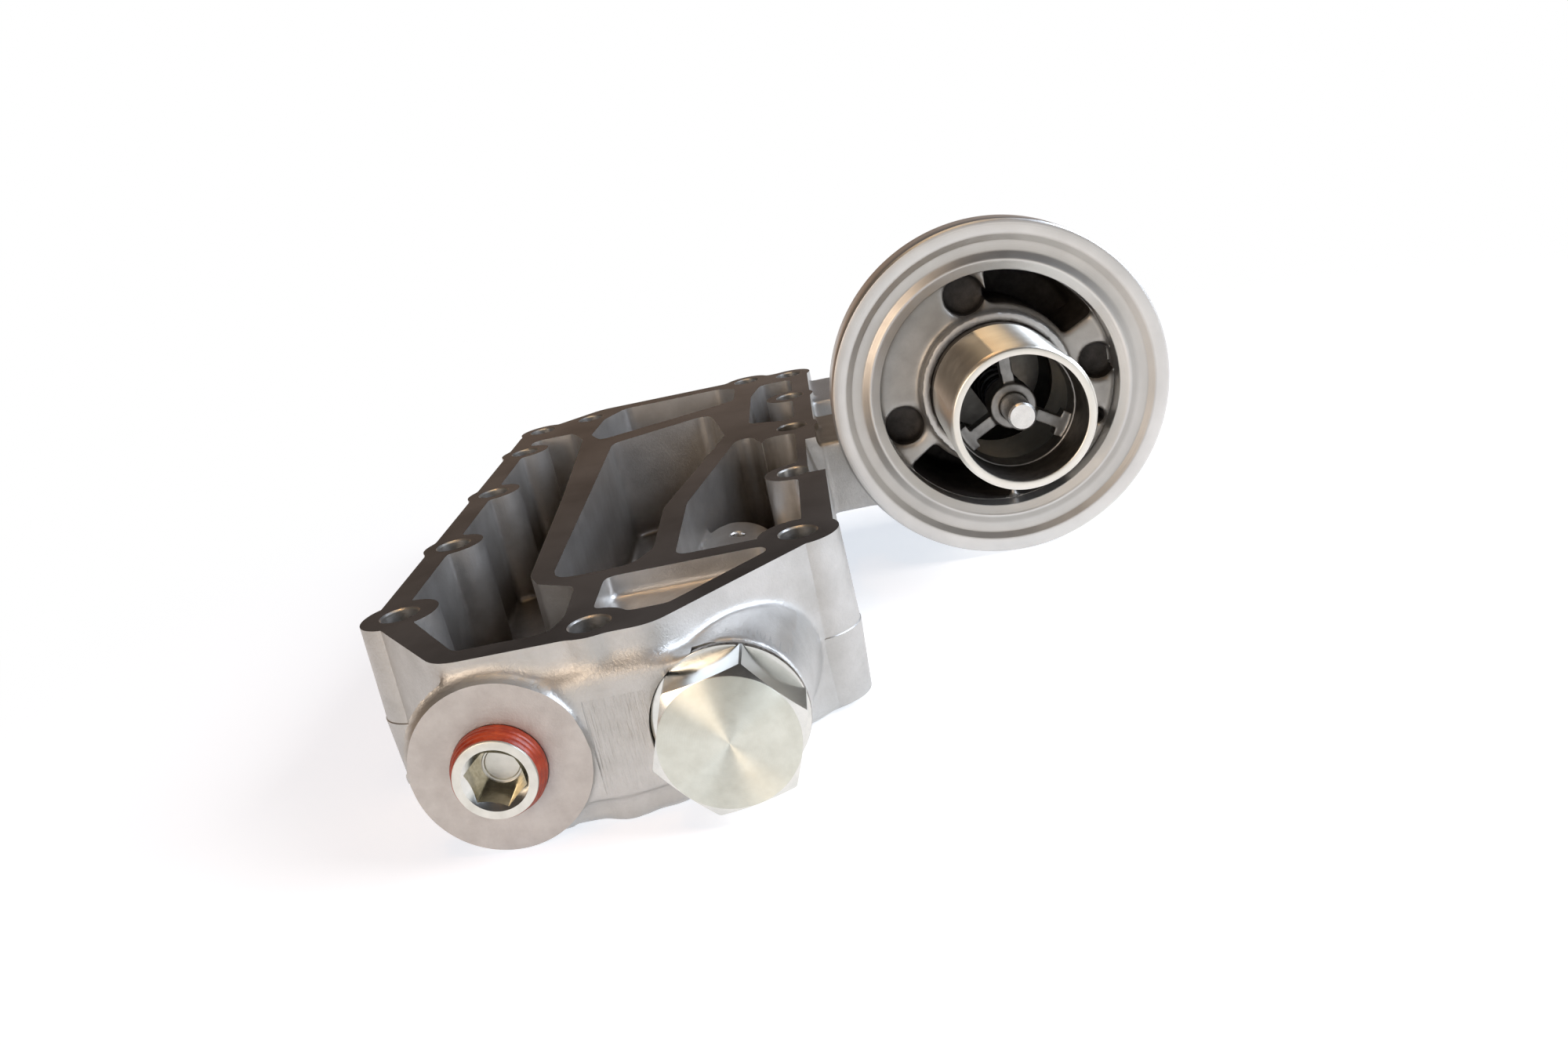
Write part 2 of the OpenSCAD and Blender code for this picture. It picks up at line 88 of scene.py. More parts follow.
def finish(name, dark, light, stain, metallic, rough, grain, depth, **sockets):
    # stains between two colours, and a grain that moves the roughness and gives relief
    # stain and grain are the sizes of their lumps and depth is the height of the relief, all in mm
    material, tree, shader = newMaterial(name, light, metallic, rough[0], **sockets)
    place = addNode(tree, "ShaderNodeTexCoord").outputs["Object"]
    stains = addNode(tree, "ShaderNodeTexNoise", {"Scale": 1000 / stain, "Detail": 6.0, "Roughness": 0.6},
                     {"Vector": place})
    ramp = addNode(tree, "ShaderNodeValToRGB", None, {"Fac": stains.outputs["Fac"]})
    for end, (position, colour) in zip(ramp.color_ramp.elements, ((0.35, dark), (0.65, light))):
        end.position, end.color = position, linear(colour)
    speckle = addNode(tree, "ShaderNodeTexNoise", {"Scale": 1000 / grain, "Detail": 3.0, "Roughness": 0.7},
                      {"Vector": place})
    span = addNode(tree, "ShaderNodeMapRange", {"From Min": 0.3, "From Max": 0.7, "To Min": rough[0],
                                                "To Max": rough[1]}, {"Value": speckle.outputs["Fac"]})
    tree.links.new(ramp.outputs["Color"], shader.inputs["Base Color"])
    tree.links.new(span.outputs["Result"], shader.inputs["Roughness"])
    if depth:
        bump = addNode(tree, "ShaderNodeBump", {"Distance": depth * mm, "Strength": 0.8},
                       {"Height": speckle.outputs["Fac"]})
        tree.links.new(bump.outputs["Normal"], shader.inputs["Normal"])
    return material, tree, shader


# helpers for meshes
def meshObject(name, bm, *materials):
    mesh = bpy.data.meshes.new(name)
    bm.to_mesh(mesh)
    bm.free()
    piece = bpy.data.objects.new(name, mesh)
    bpy.context.scene.collection.objects.link(piece)
    for material in materials:
        mesh.materials.append(material)
    return piece


def applied(piece):
    graph = bpy.context.evaluated_depsgraph_get()
    mesh = bpy.data.meshes.new_from_object(piece.evaluated_get(graph))
    piece.modifiers.clear()
    piece.data = mesh
    return piece


def shaded(piece, degrees=35):
    for polygon in piece.data.polygons:
        polygon.use_smooth = True
    piece.data.set_sharp_from_angle(angle=math.radians(degrees))
    return piece


def turned(profile, centre=(0, 0, 0), axis="Y", shape=None, segments=128):
    # closed profile of (radius, distance along the axis) in mm; shape may change a point by its turn
    bm = bmesh.new()
    rings = []
    for radius, along in profile:
        ring = []
        for k in range(segments if radius > 0 else 1):
            turn = 2 * math.pi * k / segments
            r, t = shape(radius, along, turn) if shape else (radius, along)
            across = (r * math.cos(turn), r * math.sin(turn))
            point = (across[0], t, across[1]) if axis == "Y" else (across[0], across[1], t)
            ring.append(bm.verts.new(Vector(centre) + Vector(point) * mm))
        rings.append(ring)
    for a, b in zip(rings, rings[1:] + rings[:1]):
        for k in range(segments):
            n = (k + 1) % segments
            corners = list(dict.fromkeys([a[k % len(a)], a[n % len(a)], b[n % len(b)], b[k % len(b)]]))
            if len(corners) > 2:
                bm.faces.new(corners)
    bmesh.ops.recalc_face_normals(bm, faces=bm.faces)
    return bm


def prism(corners, low, high, axis):
    # corners in metres across the axis (X and Z for "Y", X and Y for "Z"), low and high in metres along it
    bm = bmesh.new()
    ends = []
    for t in (low, high):
        ends.append([bm.verts.new((u, t, v) if axis == "Y" else (u, v, t)) for u, v in corners])
        bm.faces.new(ends[-1])
    for k in range(len(corners)):
        n = (k + 1) % len(corners)
        bm.faces.new([ends[0][k], ends[0][n], ends[1][n], ends[1][k]])
    bmesh.ops.recalc_face_normals(bm, faces=bm.faces)
    return bm


def hexagon(acrossFlats, turn, centre, ease):
    # corners of a hexagon about (X, Z), each eased by two points
    corner = acrossFlats / math.sqrt(3)
    points = []
    for k in range(6):
        for side in (-1, 1):
            angle = math.radians(turn + 60 * k) + side * ease / corner
            reach = corner - ease * 0.6
            across, up = reach * mm * math.cos(angle), reach * mm * math.sin(angle)
            points.append((centre[0] + across, centre[2] + up))
    return points


def combine(piece, tool, operation="DIFFERENCE"):
    modifier = piece.modifiers.new("cut", "BOOLEAN")
    modifier.operation = operation
    modifier.solver = "MANIFOLD"
    modifier.material_mode = "TRANSFER"
    modifier.object = tool
    applied(piece)
    bpy.data.objects.remove(tool)
    return piece


def onGrid(name, node, voxel, material, moved=None):
    # copy of a CAD solid made anew on a fine grid, so that its corners can be rounded
    bm = bmesh.new()
    bm.from_mesh(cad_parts[node].data)
    bmesh.ops.remove_doubles(bm, verts=bm.verts, dist=1e-6)
    if moved:
        moved(bm)
    piece = meshObject(name, bm, material)
    grid = piece.modifiers.new("grid", "REMESH")
    grid.mode = "VOXEL"
    grid.voxel_size = voxel * mm
    return applied(piece)


def rounded(piece, steps, triangles):
    # corners as a mould or a press leaves them
    smooth = piece.modifiers.new("round", "SMOOTH")
    smooth.factor = 0.5
    smooth.iterations = steps
    thin = piece.modifiers.new("thin", "DECIMATE")
    thin.ratio = min(1, triangles / (2 * len(piece.data.polygons)))
    return applied(piece)


def between(low, spot, high):
    return all(a < c < b for a, c, b in zip(low, spot, high))


def smoothedPatch(piece, low, high, steps):
    # rounds more of the surface between two corners of a box
    group = piece.vertex_groups.new(name="patch")
    inside = [vert.index for vert in piece.data.vertices if between(low, vert.co, high)]
    group.add(inside, 1.0, "REPLACE")
    smooth = piece.modifiers.new("patch", "SMOOTH")
    smooth.factor = 0.5
    smooth.iterations = steps
    smooth.vertex_group = "patch"
    return applied(piece)


def finished(piece, slot, body, *nodes):
    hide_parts(*nodes)
    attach(piece, body)
    print("made", piece.name, len(piece.data.polygons), "faces")


# cast aluminium, shot-blasted: pale grey and half dull, with faint stains
# its grain is drawn at 0.85 mm, coarser than the real one, so that it shows
castAluminium = finish("castAluminiumBlasted", "#bcbbb8", "#cecdcb", 18, 0.85, (0.36, 0.54), 0.85, 0.17)[0]

# the same casting where flash was filed off by hand: upright scratches about 0.4 mm apart
filedAluminium, tree, shader = finish("castAluminiumFiled", "#bcbbb8", "#cecdcb", 18, 0.85, (0.36, 0.54),
                                      0.85, 0.12)
mapping = addNode(tree, "ShaderNodeMapping", {"Scale": (5, 1, 0.3)},
                  {"Vector": addNode(tree, "ShaderNodeTexCoord").outputs["Object"]})
strokes = addNode(tree, "ShaderNodeTexNoise", {"Scale": 500.0, "Detail": 3.0},
                  {"Vector": mapping.outputs["Vector"]})
deeper = addNode(tree, "ShaderNodeBump", {"Distance": 0.35 * mm, "Strength": 1.0},
                 {"Height": strokes.outputs["Fac"], "Normal": shader.inputs["Normal"].links[0].from_socket})
tree.links.new(deeper.outputs["Normal"], shader.inputs["Normal"])

# cored passage inside the casting: painted near black and dull, for the shade inside it
passageShadeAluminium = finish("castAluminiumPassageShade", "#35322f", "#524e4b", 6, 0.4, (0.55, 0.65), 1.2, 0.2)[0]

# inside of the galleries, as cast and never blasted: painted shade, darker towards the floor
galleryShadeAluminium, tree, shader = finish("castAluminiumGalleryShade", "#bfbcb8", "#d2d0cd", 14, 0.85, (0.3, 0.42),
                                      0.8, 0.09)
height = addNode(tree, "ShaderNodeSeparateXYZ", None,
                 {"Vector": addNode(tree, "ShaderNodeTexCoord").outputs["Object"]})
shadeDepth = addNode(tree, "ShaderNodeMapRange", {"From Min": -0.057, "From Max": -0.03},
               {"Value": height.outputs["Z"]}, interpolation_type="SMOOTHSTEP")
# painted shade: the colour darkens towards the floor of the galleries
shadeTint = addNode(tree, "ShaderNodeValToRGB", None, {"Fac": shadeDepth.outputs["Result"]})
shadeTint.color_ramp.elements[0].color = linear("#64574b")
shadeTint.color_ramp.elements[1].color = linear("#ffffff")
paintedShade = addNode(tree, "ShaderNodeMix", {0: 1.0},
               {6: shader.inputs["Base Color"].links[0].from_socket, 7: shadeTint.outputs["Color"]},
               data_type="RGBA", blend_type="MULTIPLY")
tree.links.new(paintedShade.outputs[2], shader.inputs["Base Color"])

# gasket face, milled flat and oiled: a half blurred mirror, painted dark for the dark room it reflects,
# with large faint stains
milledPaintedDark = finish("aluminiumMilledPaintedDark", "#5e5e5f", "#8e8e8f", 45, 0.9, (0.22, 0.26), 40, 0)[0]

# spot face round the socket plug, milled and then blasted with the rest: flat, grey, finely speckled
spotFaced = finish("aluminiumSpotFaced", "#bbb6b2", "#c9c5c1", 7, 0.75, (0.38, 0.54), 0.7, 0.15)[0]

# drilled holes: bright bare aluminium with tool rings 0.6 mm apart down the wall
drilledAluminium, tree, shader = finish("aluminiumDrilled", "#bfbdb9", "#cfcdc9", 8, 0.95, (0.3, 0.4), 2, 0)
rings = addNode(tree, "ShaderNodeTexWave", {"Scale": 500.0, "Distortion": 1.0},
                {"Vector": addNode(tree, "ShaderNodeTexCoord").outputs["Object"]},
                wave_type="BANDS", bands_direction="Z")
deeper = addNode(tree, "ShaderNodeBump", {"Distance": 0.02 * mm, "Strength": 0.5},
                 {"Height": rings.outputs["Fac"]})
tree.links.new(deeper.outputs["Normal"], shader.inputs["Normal"])

# filter seat, turned: satin, with fine rings round its axis, and painted sheen and shade: each pass of the
# tool is painted lighter or darker by radius
# the rings are drawn 0.8 mm apart, coarser than the real ones, so that they show
turnedAluminium, tree, shader = finish("aluminiumTurned", "#d0cecb", "#dddbd8", 30, 0.9, (0.31, 0.37), 5, 0,
                                       Anisotropic=0.45)
mapping = addNode(tree, "ShaderNodeMapping", {"Scale": (1, 0, 1)},
                  {"Vector": addNode(tree, "ShaderNodeTexCoord").outputs["Object"]})
reach = addNode(tree, "ShaderNodeVectorMath", None, {0: mapping.outputs["Vector"]}, operation="LENGTH")
passes = addNode(tree, "ShaderNodeMapRange", {"From Min": 0.0425, "From Max": 0.06},
                 {"Value": reach.outputs["Value"]})
# painted sheen and shade: rings of lighter and darker colour by radius, for the light each pass catches
paintedSheen = addNode(tree, "ShaderNodeValToRGB", None, {"Fac": passes.outputs["Result"]})
paintedSheen.color_ramp.elements[0].color = linear("#ffffff")
paintedSheen.color_ramp.elements[1].color = linear("#ffffff")
for position, colour in ((0.19, "#ffffff"), (0.25, "#cdcbc8"), (0.33, "#cfcdca"), (0.4, "#e6e5e3"),
                         (0.54, "#e6e5e3"), (0.58, "#d6d4d1"), (0.68, "#d6d4d1"), (0.74, "#ffffff")):
    paintedSheen.color_ramp.elements.new(position).color = linear(colour)
paintedSheenMix = addNode(tree, "ShaderNodeMix", {0: 1.0},
               {6: shader.inputs["Base Color"].links[0].from_socket, 7: paintedSheen.outputs["Color"]},
               data_type="RGBA", blend_type="MULTIPLY")
tree.links.new(paintedSheenMix.outputs[2], shader.inputs["Base Color"])
tangent = addNode(tree, "ShaderNodeTangent", direction_type="RADIAL", axis="Y")
tree.links.new(tangent.outputs["Tangent"], shader.inputs["Tangent"])
rings = addNode(tree, "ShaderNodeTexWave", {"Scale": 400.0, "Distortion": 0.3, "Detail": 2.0},
                {"Vector": addNode(tree, "ShaderNodeTexCoord").outputs["Object"]},
                wave_type="RINGS", rings_direction="Y")
deeper = addNode(tree, "ShaderNodeBump", {"Distance": 0.012 * mm, "Strength": 0.6},
                 {"Height": rings.outputs["Fac"]})
tree.links.new(deeper.outputs["Normal"], shader.inputs["Normal"])

# floor of the seat's recess, turned: duller than the seat, and painted a darker grey for the shade in the
# recess
recessShadeAluminium = finish("aluminiumTurnedRecessShade", "#a3a09b", "#b5b2ad", 12, 0.85, (0.4, 0.5), 0.8, 0.05)[0]

# zinc-plated steel, machined flats and collar: bright and slightly blurred
zincPlated = finish("steelZincPlated", "#d2d3cf", "#e0e0dc", 6, 1.0, (0.15, 0.2), 2, 0)[0]

# socket plug: zinc over a cold-formed blank, satin on its ring; down the socket painted darker and
# yellower, for painted shade and reflection
zincSatin = finish("steelZincSatin", "#d3d2ca", "#e2e1da", 4, 0.95, (0.3, 0.42), 1.0, 0.03)[0]
zincSocketShade = finish("steelZincBroachedShade", "#b9b4a2", "#d3cfc0", 2, 1.0, (0.16, 0.24), 0.9, 0.03)[0]

# rim of the collar, rolled: plating painted darker
zincRimDark = finish("steelZincRimDark", "#4f4841", "#9a948b", 1.0, 0.9, (0.3, 0.4), 0.7, 0.08)[0]

# face of the hexagon plug: lathe rings, drawn coarser than real so that they show, spread the light in fans
latheFace, tree, shader = finish("steelZincTurned", "#d2d3c8", "#dfe1d7", 7, 1.0, (0.36, 0.42), 3, 0,
                                 Anisotropic=0.95, Anisotropic_Rotation=0.25)
tangent = addNode(tree, "ShaderNodeTangent", direction_type="RADIAL", axis="Y")
tree.links.new(tangent.outputs["Tangent"], shader.inputs["Tangent"])
mapping = addNode(tree, "ShaderNodeMapping", {"Location": -onFlange(hexPlace[0], 0, hexPlace[1])},
                  {"Vector": addNode(tree, "ShaderNodeTexCoord").outputs["Object"]})
rings = addNode(tree, "ShaderNodeTexWave", {"Scale": 500.0, "Distortion": 0.5, "Detail": 1.0},
                {"Vector": mapping.outputs["Vector"]}, wave_type="RINGS", rings_direction="Y")
deeper = addNode(tree, "ShaderNodeBump", {"Distance": 0.012 * mm, "Strength": 0.6},
                 {"Height": rings.outputs["Fac"]})
tree.links.new(deeper.outputs["Normal"], shader.inputs["Normal"])

# nipple outside: ground, threaded and bright plated
brightPlated = finish("steelBrightPlated", "#dcd8cf", "#e6e3db", 12, 1.0, (0.28, 0.34), 4, 0)[0]

# nipple bore and the part inside the head: steel painted dark and dull, for the shade inside
boreShadeSteel = finish("steelBorePaintedShade", "#4a4744", "#625f5b", 3, 0.7, (0.45, 0.55), 0.5, 0.02)[0]

# bypass stem: centreless-ground steel, bright with a satin end
groundSteel = finish("steelGround", "#d6d5d2", "#e4e3e0", 3, 0.9, (0.26, 0.34), 0.6, 0.006)[0]

# disc, seat, guide and sealing washer: bare pressed steel, grey with a rolled grain
pressedSteel = finish("steelPressedBare", "#838280", "#9c9b99", 5, 0.9, (0.34, 0.42), 0.6, 0.02)[0]

# springs: oil-tempered wire, blue-black with drawing marks
springWire = finish("steelOilTempered", "#333538", "#4d4f53", 2, 0.9, (0.32, 0.4), 0.5, 0.01)[0]

# valve washer: nitrile rubber, black and dull
nitrile = finish("nitrileRubber", "#141416", "#1c1c1f", 4, 0.0, (0.55, 0.65), 0.4, 0.02)[0]

# thread sealant, cured paste: waxy orange-red, slightly uneven
sealantPaste = finish("sealantCured", "#93290f", "#b5411c", 2.5, 0.0, (0.34, 0.42), 0.9, 0.12,
                      Coat_Weight=0.15)[0]
print("finishes made:", len(bpy.data.materials))

casting = {
    "voxel": 0.9,              # grid that rounds the cast corners, in mm as all sizes here
    "roundSteps": 12,          # more steps, larger fillets
    "ledgeSteps": 45,          # the same for the soft ledge between the two plugs' bosses
    "ledge": ((-16, -12, 33), (22, 6, 47)),
    "triangles": 170000,
    "stock": 6,                # left on machined faces before they are cut
    "stockTo": -65,            # the gasket face ends here, from the seat's centre
    "gasketZ": 53,
    "spotY": -5.1,
    "fileY": -3.08,
    "partingZ": 24,
    "partingTo": -60,
    "ridge": 0.2,
    "ridgeHalfWidth": 0.6,
    # bolt columns that stand proud of the two slanting walls, with their radius
    "columns": [(57.5, 51, 12.0), (-61, 48, 11.35)],
    # slimmer boss of the hexagon plug: by how much, between which radii, end and length of the fade
    "slimBy": 2.0,
    "slimBetween": (18, 31),
    "slimEnd": (45, 25),
    "bolts": [(-61, 48), (-61, 113), (-61, 178), (-61, 243), (57.5, 51), (57.5, 119), (57.5, 187),
              (57.5, 246), (57.5, 297), (37, 303), (-38, 290), (-60, 283), (1.5, 9)],
    "boltRadius": 5.5,
    "edge": 0.5,               # chamfer of drilled holes
    "dowel": (-53, 297),
    "dowelRadius": 3.5,
    "dowelDepth": 12,
    "spill": (35.1, 106),
    "spillRadius": 2.5,
    "tapRadius": 12.05,        # hole of the socket plug
    "collarRadius": 21.05,     # counterbore and hole of the hexagon plug
    "shankRadius": 15.05,
    "nippleRadius": 24.05,
    "galleries": ((-70, 7, 2), (62, 320, 52.7)),
    "rays": ((0, 0), (12, 15), (-12, 15)),     # degrees aside, and nearest wall that counts as facing
    "recessRadius": 42.8,      # of the recess and chamber behind the seat
    "recessY": (9, 11.2),      # where the recess's floor lies behind the seat face
    "chamberEnd": 60.3,
}


def withStock(bm):
    # machined faces stand out as they were cast
    top = onFlange(0, 0, casting["gasketZ"]).z
    front = onFlange(0, casting["spotY"], 0).y
    for vert in bm.verts:
        if abs(vert.co.z - top) < 1e-5 and vert.co.x < casting["stockTo"] * mm:
            vert.co.z += casting["stock"] * mm
        if abs(vert.co.y - front) < 1e-5:
            vert.co.y -= casting["stock"] * mm


def raisePartingLine(piece):
    # low ridge that the two halves of the mould leave on the outside
    bm = bmesh.new()
    bm.from_mesh(piece.data)
    bm.normal_update()
    walls = BVHTree.FromBMesh(bm)
    line = onFlange(0, 0, casting["partingZ"]).z
    halfWidth, end = casting["ridgeHalfWidth"] * mm, casting["partingTo"] * mm
    for vert in bm.verts:
        outward = vert.normal
        if abs(vert.co.z - line) < halfWidth and abs(outward.z) < 0.5 and vert.co.x < end:
            if walls.ray_cast(vert.co + outward * 2 * mm, outward)[0] is None:
                vert.co += outward * casting["ridge"] * mm
    bm.to_mesh(piece.data)
    bm.free()


def slimBoss(piece):
    # draws the boss of the hexagon plug in behind its collar, and fades out further back
    axis = onFlange(hexPlace[0], 0, hexPlace[1])
    inner, outer = casting["slimBetween"]
    end, fade = casting["slimEnd"]
    for vert in piece.data.vertices:
        spot = (vert.co - axis) / mm
        reach = math.hypot(spot.x, spot.z)
        if inner < reach < outer and spot.y < end:
            share = min(1, (outer - reach) / 6) * min(1, (reach - inner) / 2)
            share *= min(1, (end - spot.y) / fade)
            vert.co -= Vector((spot.x, 0, spot.z)) / reach * casting["slimBy"] * share * mm


def box(low, high):
    low, high = onFlange(*low), onFlange(*high)
    return prism([(low.x, low.y), (high.x, low.y), (high.x, high.y), (low.x, high.y)], low.z, high.z, "Z")


def cutHole(piece, name, profile, centre=(0, 0, 0), axis="Y", segments=128, material=drilledAluminium):
    combine(piece, meshObject(name, turned(profile, centre, axis, segments=segments), material))


def shadeGalleries(piece):
    # walls that face other walls, and floors below the gasket face, get the painted shade of the galleries'
    # inside
    piece.data.materials.append(galleryShadeAluminium)
    shadeSlot = len(piece.data.materials) - 1
    bm = bmesh.new()
    bm.from_mesh(piece.data)
    walls = BVHTree.FromBMesh(bm)
    low, high = (onFlange(*corner) for corner in casting["galleries"])
    for face in bm.faces:
        spot, outward = face.calc_center_median(), face.normal
        if face.material_index or not between(low, spot, high):
            continue
        for aside, nearest in casting["rays"]:
            look = Matrix.Rotation(math.radians(aside), 3, "Z") @ outward
            distance = walls.ray_cast(spot + look * 0.5 * mm, look, 0.15)[3]
            if outward.z > 0.5 or distance is not None and distance > nearest * mm:
                face.material_index = shadeSlot
    bm.to_mesh(piece.data)
    bm.free()


def shadePassages(piece):
    # the cored passages behind the seat and the turned recess in front of them get painted shade
    piece.data.materials.append(passageShadeAluminium)
    piece.data.materials.append(recessShadeAluminium)
    passageSlot = len(piece.data.materials) - 2
    recessFrom, recessTo = casting["recessY"]
    for polygon in piece.data.polygons:
        spot = polygon.center / mm
        reach = math.hypot(spot.x, spot.z)
        outside = reach > 36 and polygon.normal.dot(Vector((spot.x, 0, spot.z))) > 0.3 * reach
        if reach < casting["recessRadius"] and recessFrom < spot.y < casting["chamberEnd"] and not outside:
            polygon.material_index = passageSlot if spot.y > recessTo else passageSlot + 1


def makeCasting():
    piece = onGrid("castHead", "housing", casting["voxel"], castAluminium, withStock)
    low, high = (onFlange(*corner) for corner in casting["ledge"])
    smoothedPatch(piece, low, high, casting["ledgeSteps"])
    raisePartingLine(piece)
    slimBoss(piece)
    rounded(piece, casting["roundSteps"], casting["triangles"])
    line = casting["partingZ"]
    for x, y, r in casting["columns"]:
        column = [(0, 2), (r + 0.2, 2), (r + 1.1, line - 0.2), (r + 0.85, line + 0.1), (r, 60), (0, 60)]
        combine(piece, meshObject("column", turned(column, onFlange(x, y, 0), "Z"), castAluminium), "UNION")

    # faces milled, spot-faced or filed after casting
    top, spotY = casting["gasketZ"], casting["spotY"]
    # the gasket face gets the milled finish painted dark: a painted reflection
    cuts = [((-80, -20, top), (69, 325, top + 20), milledPaintedDark),
            ((60, -20, top), (72, 75, top + 20), milledPaintedDark),
            ((-60, -40, -10), (5, spotY, 60), spotFaced),
            ((-3, -20, 9), (14, casting["fileY"], 37), filedAluminium)]
    for low, high, material in cuts:
        combine(piece, meshObject("mill", box(low, high), material))

    # drilled and bored holes
    r, edge = casting["boltRadius"], casting["edge"]
    wide = r + edge + 1
    through = [(0, -1), (wide, -1), (r, edge), (r, top - edge), (wide, top + 1), (0, top + 1)]
    for x, y in casting["bolts"]:
        cutHole(piece, "drill", through, onFlange(x, y, 0), "Z", 64)
    r, deep = casting["dowelRadius"], casting["dowelDepth"]
    dowel = [(0, top - deep), (r, top - deep), (r, top - 0.4), (r + 1.4, top + 1), (0, top + 1)]
    cutHole(piece, "reamer", dowel, onFlange(*casting["dowel"], 0), "Z", 48)
    r = casting["spillRadius"]
    spill = [(0, 24), (r, 24), (r, 50), (0, 50)]
    cutHole(piece, "spillDrill", spill, onFlange(*casting["spill"], 0), "Z", 32)
    r = casting["tapRadius"]
    bore = [(0, -9), (r + 0.55, -9), (r + 0.55, spotY + 0.3), (r, spotY + 0.9), (r, 10), (0, 10)]
    cutHole(piece, "tap", bore, onFlange(socketPlace[0], 0, socketPlace[1]))
    r, shank = casting["collarRadius"], casting["shankRadius"]
    bore = [(0, -9), (r, -9), (r, 2.3), (shank, 2.3), (shank, 18.3), (0, 18.3)]
    cutHole(piece, "boring", bore, onFlange(hexPlace[0], 0, hexPlace[1]))

    # room for the seat's turned ring, then the nipple's bore
    seat = [(42.3, -30), (72, -30), (72, 17.6), (47, 17.6), (47, 9.8), (42.3, 9.8)]
    cutHole(piece, "seatRoom", seat, material=castAluminium)
    r = casting["nippleRadius"]
    bore = [(0, -9), (r, -9), (r, 15.5), (21, 15.5), (21, 42), (15, 42), (15, 46), (0, 46)]
    cutHole(piece, "nippleBore", bore)
    shadeGalleries(piece)
    shadePassages(piece)
    return shaded(piece, 32)


castHead = makeCasting()
finished(castHead, "cast_aluminium", "head", "housing")

filterSeat = {
    # radius and depth behind the seat face, in mm: bevel and crest, fall to the land, step, rim, back
    "profile": [(42.5, 1.7), (42.7, 1.45), (45.3, 0.25), (45.8, 0.03), (46.2, 0), (46.6, 0.12),
                (48.7, 1.1), (49.2, 1.2), (52.3, 1.2), (52.8, 1.05), (54.6, 0.12), (55.1, 0),
                (58.7, 0), (59.3, 0.15), (59.9, 0.8), (60, 1.2), (60, 15.8), (59.8, 16.3),
                (58.3, 17.8), (57.8, 18), (46.5, 18), (46.5, 11.5), (42.5, 11.5)],
    "segments": 256,
}
seatShape = turned(filterSeat["profile"], segments=filterSeat["segments"])
seatRing = shaded(meshObject("seatRing", seatShape, turnedAluminium), 25)
finished(seatRing, "cast_aluminium", "head", "housing")

nipple = {
    "radius": 24, "front": -44.7, "grip": 15.5, "chamfer": 1.0,
    "pitch": 1.5, "threadDepth": 0.55, "steps": 6,
    "boreRadius": 20.7, "counterbore": 21.4, "guideY": -25.5,
}


def nippleThread(radius, along, turn):
    low, high = nipple["front"] + 0.6, nipple["grip"] - 0.6
    if radius < nipple["radius"] - 0.01 or not low < along < high:
        return radius, along
    phase = (along / nipple["pitch"] - turn / (2 * math.pi)) % 1
    depth = nipple["threadDepth"] * min(1, abs(2 * phase - 1) * 1.5)
    room = nipple["front"] + nipple["chamfer"] - along
    return radius - max(depth, room), along


def makeNipple():
    r, front, grip = nipple["radius"], nipple["front"], nipple["grip"]
    bore, counterbore = nipple["boreRadius"], nipple["counterbore"]
    guideY, edge = nipple["guideY"], nipple["chamfer"]
    step = nipple["pitch"] / nipple["steps"]
    count = int((grip - front - 2 * edge) / step)
    profile = [(bore, guideY), (bore, front + 0.5), (bore + 0.1, front + 0.15), (bore + 0.4, front),
               (r - edge - 0.3, front), (r - edge + 0.05, front + 0.15)]
    profile += [(r, front + edge + i * step) for i in range(count + 1)]
    profile += [(r - edge, grip), (counterbore, grip), (counterbore, guideY)]
    piece = meshObject("threadedNipple", turned(profile, shape=nippleThread), brightPlated, boreShadeSteel)
    # the bore and the part inside the head are painted dark, for their shade
    for polygon in piece.data.polygons:
        spot = polygon.center / mm
        if math.hypot(spot.x, spot.z) < bore + 0.3 and spot.y > front + 0.6 or spot.y > 0.5:
            polygon.material_index = 1
    return shaded(piece, 40)


finished(makeNipple(), "bright_plating", "head", "filter_nipple")

guide = {
    "voxel": 0.4, "roundSteps": 4, "triangles": 40000,
    "boreRadius": 4.65, "boreFrom": -30, "boreTo": -10,
}
spokedGuide = onGrid("spokedGuide", "valve_guide", guide["voxel"], pressedSteel)
rounded(spokedGuide, guide["roundSteps"], guide["triangles"])
r, a, b = guide["boreRadius"], guide["boreFrom"], guide["boreTo"]
combine(spokedGuide, meshObject("hubReamer", turned([(0, a), (r, a), (r, b), (0, b)]), pressedSteel))
finished(shaded(spokedGuide, 40), "pressed_steel", "head", "valve_guide")

hexPlug = {
    "axis": onFlange(hexPlace[0], 0, hexPlace[1]),
    "acrossFlats": 36.5, "turn": 11, "ease": 0.35,
    "front": -14.9, "faceRadius": 18.15, "collarRadius": 20.8, "collarFront": -1.2, "collarBack": 0.8,
    "threadRadius": 15, "threadEnd": 18.3, "spigotRadius": 5.5, "spigotEnd": 24.3,
}


